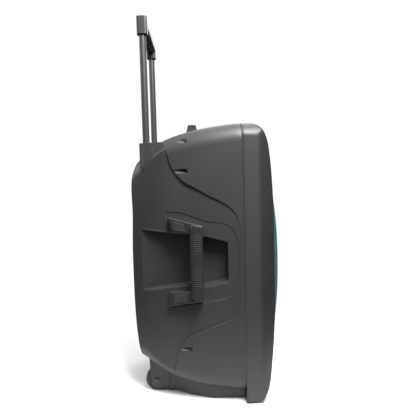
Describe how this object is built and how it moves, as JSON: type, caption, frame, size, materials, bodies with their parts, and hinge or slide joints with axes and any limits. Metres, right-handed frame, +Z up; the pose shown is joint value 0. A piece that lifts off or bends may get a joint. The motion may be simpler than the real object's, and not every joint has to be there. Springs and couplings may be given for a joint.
{
  "type": "party speaker",
  "caption": "Upright wheeled party loudspeaker with a bulged perforated grille, tapered moulded cabinet, side grips, top bar handle and a pull-out trolley handle.",
  "frame": {"origin": "on the floor under the middle of the bounding box, with the trolley handle pulled out", "axes": "+Z up, the grille faces -Y, the trolley is at +Y, +X is to the viewer's right when facing the grille's back, wheels at the lower rear"},
  "size_m": [0.454, 0.4021, 0.993],
  "materials": {
    "housing_plastic": "fine grained moulded plastic",
    "frame_plastic": "fine grained moulded plastic",
    "handle_plastic": "ribbed moulded plastic",
    "collar_plastic": "moulded plastic",
    "grille_metal": "powder coated teal",
    "black_metal": "satin black coating",
    "black_tube": "black anodised",
    "steel": "zinc plated",
    "dark_screw": "black oxide",
    "rubber": "matt",
    "tyre": "matt",
    "hub_plastic": "moulded plastic",
    "basket_metal": "cast and painted",
    "magnet_metal": "dark ferrite and plated plates",
    "cone_paper": "pressed pulp",
    "former": "bare",
    "spider_cloth": "impregnated cloth",
    "board": "green board",
    "fins": "bare",
    "cell": "moulded case",
    "panel_metal": "satin black",
    "knob_plastic": "moulded plastic",
    "button_plastic": "moulded plastic",
    "window": "dark display window",
    "socket_plastic": "moulded plastic"
  },
  "bodies": {
    "housing": {"rear_cabinet": "housing_plastic", "front_frame": "frame_plastic", "base_plinth": "housing_plastic", "rubber_feet": "rubber", "pole_socket": "socket_plastic", "baffle": "frame_plastic", "grille": "grille_metal", "grille_screws": "dark_screw", "cabinet_screws": "dark_screw", "side_handle_left": "handle_plastic", "side_handle_right": "handle_plastic", "top_handle": "handle_plastic", "trolley_collar": "collar_plastic", "trolley_sleeves": "black_metal", "sleeve_bracket": "socket_plastic", "wheel_axles": "steel", "wheel_bracket_left": "housing_plastic", "wheel_bracket_right": "housing_plastic", "woofer_basket": "basket_metal", "woofer_magnet": "magnet_metal", "woofer_surround": "rubber", "woofer_spider": "spider_cloth", "horn_flare": "socket_plastic", "compression_driver": "magnet_metal", "driver_screws": "dark_screw", "port_tubes": "socket_plastic", "rear_panel": "panel_metal", "panel_screws": "steel", "amp_board": "board", "heatsink": "fins", "battery": "cell", "battery_tray": "black_metal", "display_window": "window", "usb_port": "socket_plastic", "mic_jacks": "socket_plastic", "power_inlet": "socket_plastic"},
    "trolley": {"trolley_tube_left": "black_tube", "trolley_tube_right": "black_tube", "tube_plugs": "hub_plastic", "trolley_grip": "handle_plastic"},
    "release": {"release_button": "knob_plastic", "push_rods": "fins"},
    "lock_left": {"lock_pin_left": "steel"},
    "lock_right": {"lock_pin_right": "steel"},
    "wheel_left": {"wheel_tyre_left": "tyre", "wheel_hub_left": "hub_plastic"},
    "wheel_right": {"wheel_tyre_right": "tyre", "wheel_hub_right": "hub_plastic"},
    "mic_control": {"knob_mic": "knob_plastic"},
    "bass_control": {"knob_bass": "knob_plastic"},
    "treble_control": {"knob_treble": "knob_plastic"},
    "master_control": {"knob_master": "knob_plastic"},
    "previous_key": {"button_prev": "button_plastic"},
    "play_key": {"button_play": "button_plastic"},
    "next_key": {"button_next": "button_plastic"},
    "power_switch": {"power_rocker": "knob_plastic"},
    "cone": {"woofer_cone": "cone_paper", "woofer_dust_cap": "cone_paper", "voice_coil": "former"}
  },
  "joints": [
    {"name": "trolley_slide", "type": "slide", "parent": "housing", "child": "trolley", "axis": [0, 0, 1], "range_m": [-0.27, 0]},
    {"name": "release_press", "type": "slide", "parent": "trolley", "child": "release", "axis": [0, 0, -1], "range_m": [0, 0.004], "stiffness_N_per_m": 1500, "springref_m": -0.004},
    {"name": "lock_left_slide", "type": "slide", "parent": "trolley", "child": "lock_left", "axis": [1, 0, 0], "range_m": [0, 0.003]},
    {"name": "lock_right_slide", "type": "slide", "parent": "trolley", "child": "lock_right", "axis": [-1, 0, 0], "range_m": [0, 0.003]},
    {"name": "wheel_left_spin", "type": "hinge", "parent": "housing", "child": "wheel_left", "pos_m": [-0.103, 0.148, 0.03], "axis": [1, 0, 0], "continuous": true},
    {"name": "wheel_right_spin", "type": "hinge", "parent": "housing", "child": "wheel_right", "pos_m": [0.103, 0.148, 0.03], "axis": [1, 0, 0], "continuous": true},
    {"name": "mic_turn", "type": "hinge", "parent": "housing", "child": "mic_control", "pos_m": [-0.058, 0.175, 0.505], "axis": [0, 1, 0], "range_deg": [-150, 150]},
    {"name": "bass_turn", "type": "hinge", "parent": "housing", "child": "bass_control", "pos_m": [-0.03, 0.175, 0.505], "axis": [0, 1, 0], "range_deg": [-150, 150]},
    {"name": "treble_turn", "type": "hinge", "parent": "housing", "child": "treble_control", "pos_m": [-0.002, 0.175, 0.505], "axis": [0, 1, 0], "range_deg": [-150, 150]},
    {"name": "master_turn", "type": "hinge", "parent": "housing", "child": "master_control", "pos_m": [0.045, 0.175, 0.488], "axis": [0, 1, 0], "range_deg": [-150, 150]},
    {"name": "previous_press", "type": "slide", "parent": "housing", "child": "previous_key", "axis": [0, -1, 0], "range_m": [0, 0.0015], "stiffness_N_per_m": 600, "springref_m": -0.001},
    {"name": "play_press", "type": "slide", "parent": "housing", "child": "play_key", "axis": [0, -1, 0], "range_m": [0, 0.0015], "stiffness_N_per_m": 600, "springref_m": -0.001},
    {"name": "next_press", "type": "slide", "parent": "housing", "child": "next_key", "axis": [0, -1, 0], "range_m": [0, 0.0015], "stiffness_N_per_m": 600, "springref_m": -0.001},
    {"name": "power_rock", "type": "hinge", "parent": "housing", "child": "power_switch", "pos_m": [-0.0495, 0.171, 0.2455], "axis": [1, 0, 0], "range_deg": [-7, 7]},
    {"name": "cone_travel", "type": "slide", "parent": "housing", "child": "cone", "axis": [0, 1, 0], "range_m": [-0.004, 0.004], "stiffness_N_per_m": 3000}
  ],
  "couplings": [
    {"joint": "lock_left_slide", "follows": "release_press", "ratio": 0.75},
    {"joint": "lock_right_slide", "follows": "release_press", "ratio": 0.75}
  ]
}
